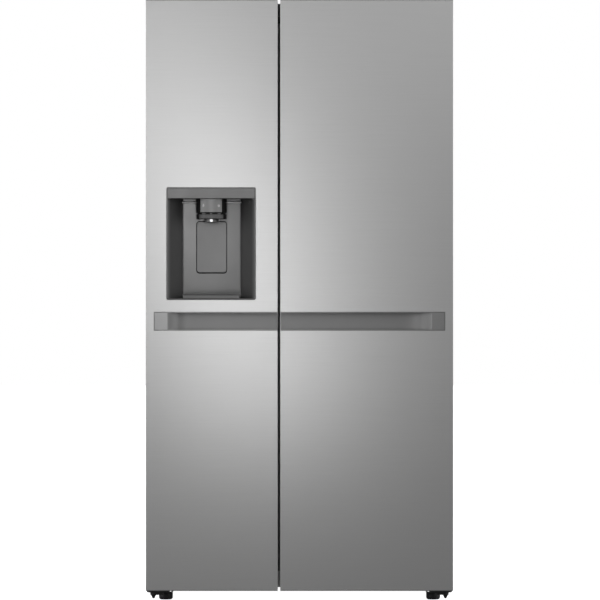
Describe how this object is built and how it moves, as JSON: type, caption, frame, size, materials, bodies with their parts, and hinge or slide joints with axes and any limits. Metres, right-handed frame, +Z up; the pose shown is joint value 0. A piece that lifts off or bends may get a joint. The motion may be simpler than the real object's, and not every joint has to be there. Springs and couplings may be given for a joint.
{
  "type": "side by side refrigerator",
  "caption": "Side by side refrigerator freezer in brushed steel: narrow left door with a water and ice dispenser, wide right door, recessed horizontal grip groove.",
  "frame": {"origin": "middle of the footprint (doors included), on the floor", "axes": "+Z up; the doors face -Y; +X is to the right as seen from the front, so the freezer is at -X"},
  "size_m": [0.913, 0.735, 1.79],
  "materials": {
    "brushed_steel": "fine horizontal brush, satin",
    "grey_case_paint": "fine texture, satin",
    "zinc_plate": "galvanised",
    "black_painted_steel": "satin black",
    "black_circuit_paint": "satin black paint on steel",
    "aluminium_tube": "plain",
    "white_liner": "vacuum formed, satin gloss",
    "white_door_body": null,
    "insulation_foam": null,
    "clear_plastic": "clear, glossy",
    "shelf_glass": "toughened glass in a moulded frame",
    "dark_plastic": "satin",
    "handle_grey": "metallic grey paint",
    "black_plastic": "fine texture",
    "gloss_black": "gloss",
    "seal_rubber": "soft magnetic seal"
  },
  "bodies": {
    "cabinet": {"cabinet_wrap": "grey_case_paint", "back_panel": "zinc_plate", "insulation_foam": "insulation_foam", "freezer_liner": "white_liner", "fridge_liner": "white_liner", "centre_mullion": "grey_case_paint", "base_frame": "zinc_plate", "hinge_cover_left": "black_plastic", "hinge_cover_right": "black_plastic", "top_hinge_left": "zinc_plate", "top_hinge_right": "zinc_plate", "bottom_hinge_left": "black_painted_steel", "bottom_hinge_right": "black_painted_steel", "compressor": "black_circuit_paint", "condenser": "black_circuit_paint", "condenser_fan_frame": "black_plastic", "drain_pan": "black_plastic", "machine_room_cover": "black_plastic", "control_box": "dark_plastic", "evaporator": "aluminium_tube", "freezer_duct_cover": "white_liner", "fridge_duct_cover": "white_liner", "freezer_shelf_1": "shelf_glass", "freezer_shelf_2": "shelf_glass", "fridge_shelf_1": "shelf_glass", "fridge_shelf_2": "shelf_glass", "fridge_shelf_3": "shelf_glass", "fridge_lamp": "clear_plastic"},
    "freezer_door": {"freezer_door_skin": "brushed_steel", "freezer_door_core": "white_door_body", "freezer_door_handle": "handle_grey", "freezer_door_gasket": "seal_rubber", "dispenser_housing": "dark_plastic", "dispenser_fascia": "dark_plastic", "dispenser_head": "gloss_black", "water_nozzle": "clear_plastic", "ice_maker": "white_liner", "ice_bin": "clear_plastic", "freezer_door_bin_lower": "clear_plastic", "freezer_door_bin_upper": "clear_plastic"},
    "fridge_door": {"fridge_door_skin": "brushed_steel", "fridge_door_core": "white_door_body", "fridge_door_handle": "handle_grey", "fridge_door_gasket": "seal_rubber", "fridge_door_bin_1": "clear_plastic", "fridge_door_bin_2": "clear_plastic", "fridge_door_bin_3": "clear_plastic", "fridge_door_bin_4": "clear_plastic"},
    "paddle": {"dispenser_paddle": "dark_plastic"},
    "tray": {"drip_tray": "dark_plastic"},
    "drawer_freezer_lower": {"freezer_drawer_lower": "clear_plastic"},
    "drawer_freezer_upper": {"freezer_drawer_upper": "clear_plastic"},
    "drawer_crisper_lower": {"crisper_lower": "clear_plastic"},
    "drawer_crisper_upper": {"crisper_upper": "clear_plastic"},
    "fan_condenser": {"condenser_fan": "dark_plastic"},
    "fan_evaporator": {"evaporator_fan": "dark_plastic"},
    "foot_left": {"levelling_foot_left": "black_plastic"},
    "foot_right": {"levelling_foot_right": "black_plastic"},
    "roller_left": {"rear_roller_left": "black_plastic"},
    "roller_right": {"rear_roller_right": "black_plastic"}
  },
  "joints": [
    {"name": "freezer_door_hinge", "type": "hinge", "parent": "cabinet", "child": "freezer_door", "pos_m": [-0.4359, -0.3, 0.9], "axis": [0, 0, -1], "range_deg": [0, 115]},
    {"name": "fridge_door_hinge", "type": "hinge", "parent": "cabinet", "child": "fridge_door", "pos_m": [0.4359, -0.3, 0.9], "axis": [0, 0, 1], "range_deg": [0, 115]},
    {"name": "paddle_hinge", "type": "hinge", "parent": "freezer_door", "child": "paddle", "pos_m": [-0.2627, -0.284, 1.129], "axis": [1, 0, 0], "range_deg": [0, 6.5], "stiffness_Nm_per_rad": 1.5, "springref_deg": -5.73},
    {"name": "drip_tray_slide", "type": "slide", "parent": "freezer_door", "child": "tray", "axis": [0, -1, 0], "range_m": [0, 0.1]},
    {"name": "freezer_drawer_lower_slide", "type": "slide", "parent": "cabinet", "child": "drawer_freezer_lower", "axis": [0, -1, 0], "range_m": [0, 0.06]},
    {"name": "freezer_drawer_upper_slide", "type": "slide", "parent": "cabinet", "child": "drawer_freezer_upper", "axis": [0, -1, 0], "range_m": [0, 0.09]},
    {"name": "crisper_lower_slide", "type": "slide", "parent": "cabinet", "child": "drawer_crisper_lower", "axis": [0, -1, 0], "range_m": [0, 0.06]},
    {"name": "crisper_upper_slide", "type": "slide", "parent": "cabinet", "child": "drawer_crisper_upper", "axis": [0, -1, 0], "range_m": [0, 0.09]},
    {"name": "condenser_fan_spin", "type": "hinge", "parent": "cabinet", "child": "fan_condenser", "pos_m": [0.012, 0.243, 0.14], "axis": [1, 0, 0], "continuous": true},
    {"name": "evaporator_fan_spin", "type": "hinge", "parent": "cabinet", "child": "fan_evaporator", "pos_m": [-0.2455, 0.236, 1.12], "axis": [0, 1, 0], "continuous": true},
    {"name": "foot_left_turn", "type": "hinge", "parent": "cabinet", "child": "foot_left", "pos_m": [-0.4015, -0.225, 0.02], "axis": [0, 0, 1], "continuous": true},
    {"name": "foot_right_turn", "type": "hinge", "parent": "cabinet", "child": "foot_right", "pos_m": [0.4015, -0.225, 0.02], "axis": [0, 0, 1], "continuous": true},
    {"name": "roller_left_spin", "type": "hinge", "parent": "cabinet", "child": "roller_left", "pos_m": [-0.4015, 0.29, 0.02], "axis": [1, 0, 0], "continuous": true},
    {"name": "roller_right_spin", "type": "hinge", "parent": "cabinet", "child": "roller_right", "pos_m": [0.4015, 0.29, 0.02], "axis": [1, 0, 0], "continuous": true}
  ]
}
